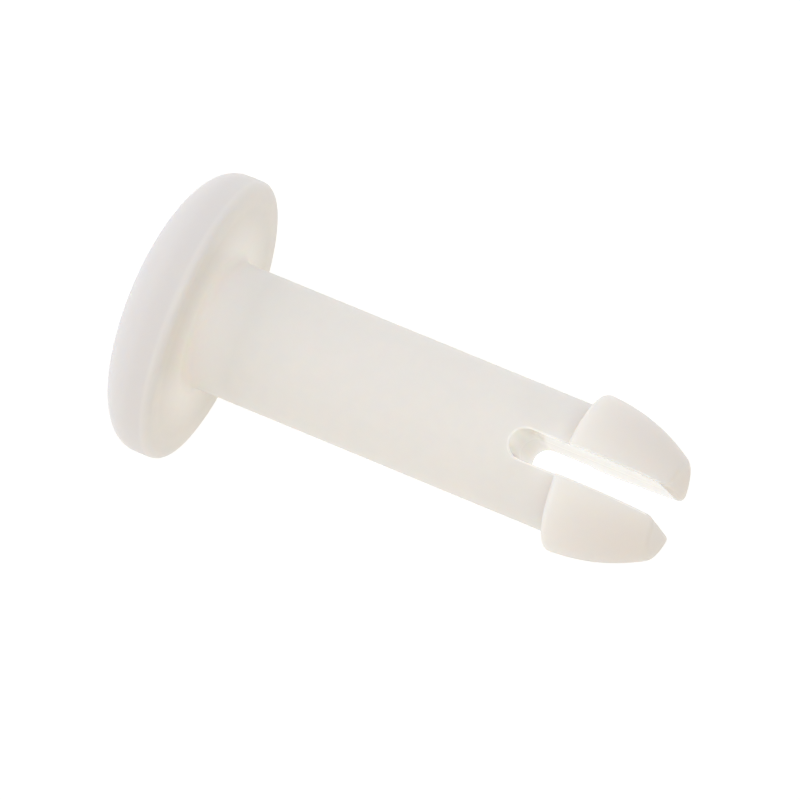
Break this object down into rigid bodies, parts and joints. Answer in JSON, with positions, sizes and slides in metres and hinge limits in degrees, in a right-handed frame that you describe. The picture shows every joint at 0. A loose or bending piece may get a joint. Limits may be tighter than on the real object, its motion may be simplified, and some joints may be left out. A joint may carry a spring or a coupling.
{
  "type": "split-shank snap rivet",
  "caption": "Nylon snap rivet: a domed round head, a plain round shank and a slotted, barbed tip whose prongs squeeze together to snap through a panel hole and lock behind it.",
  "frame": {"origin": "centre of the head's bearing face", "axes": "+Z along the shank from the head to the tip; Y through the slot; the prongs stand at -X and +X"},
  "size_m": [0.014, 0.014, 0.0271],
  "materials": {
    "nylon": "satin, slightly translucent natural nylon"
  },
  "bodies": {
    "base": {"head": "nylon", "shank": "nylon"},
    "prong_left": {"leg_left": "nylon", "barb_left": "nylon"},
    "prong_right": {"leg_right": "nylon", "barb_right": "nylon"}
  },
  "joints": [
    {"name": "left_flex", "type": "hinge", "parent": "base", "child": "prong_left", "pos_m": [0, 0, 0.01675], "axis": [0, 1, 0], "range_deg": [0, 6], "stiffness_Nm_per_rad": 2.6},
    {"name": "right_flex", "type": "hinge", "parent": "base", "child": "prong_right", "pos_m": [0, 0, 0.01675], "axis": [0, -1, 0], "range_deg": [0, 6], "stiffness_Nm_per_rad": 2.6}
  ]
}
